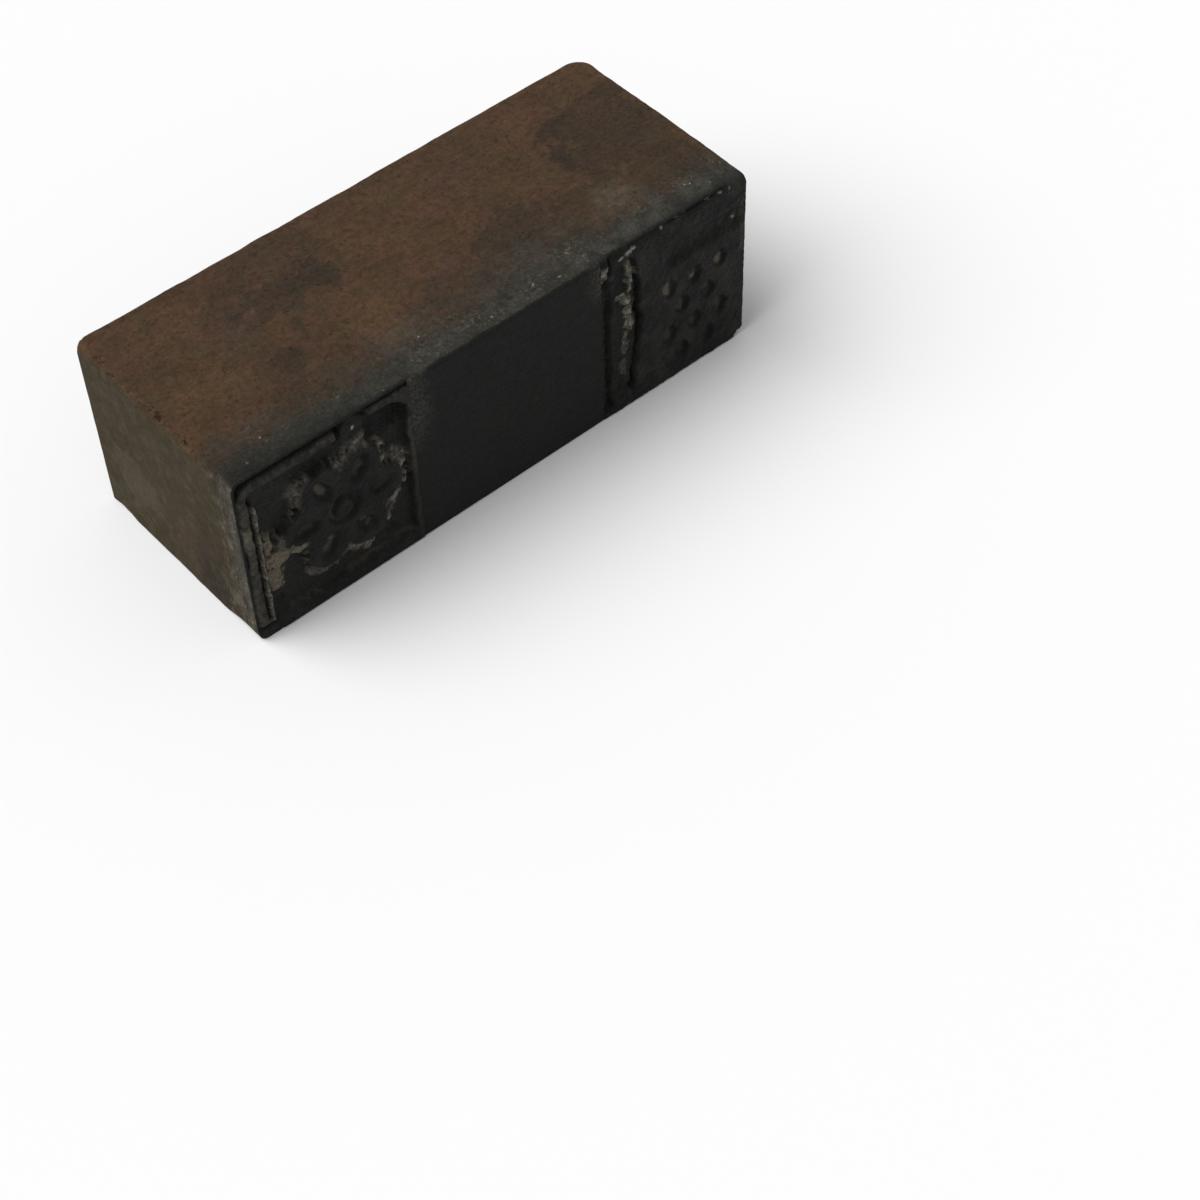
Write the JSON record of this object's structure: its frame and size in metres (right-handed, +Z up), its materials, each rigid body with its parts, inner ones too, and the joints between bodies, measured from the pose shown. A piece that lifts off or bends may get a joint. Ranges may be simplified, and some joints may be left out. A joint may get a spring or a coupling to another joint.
{
  "type": "printing stamp",
  "caption": "Wood-mounted hand stamp lying on its side: a stained hardwood block with a nailed metal relief plate let into each end of its printing face.",
  "frame": {"origin": "middle of the side that the block lies on, at the centre of its overall length and depth", "axes": "+X along the block's length, the printing face looks along -Y, +Z up from the side that it lies on"},
  "size_m": [0.058, 0.0234, 0.02],
  "materials": {
    "stained_wood": "dark oiled hardwood, worn, black with ink towards the printing face",
    "inked_metal": "type-metal or zinc relief with a satin black film of dried ink, bare and pale on burrs",
    "nail_steel": "dull steel darkened by ink"
  },
  "bodies": {
    "root": {"wood_block": "stained_wood", "left_relief_plate": "inked_metal", "right_relief_plate": "inked_metal", "left_nail_upper_end": "nail_steel", "left_nail_lug": "nail_steel", "left_nail_lower_end": "nail_steel", "left_nail_lower_joint": "nail_steel", "right_nail_upper_joint": "nail_steel", "right_nail_upper_end": "nail_steel", "right_nail_lower_joint": "nail_steel", "right_nail_lower_end": "nail_steel"}
  },
  "joints": []
}
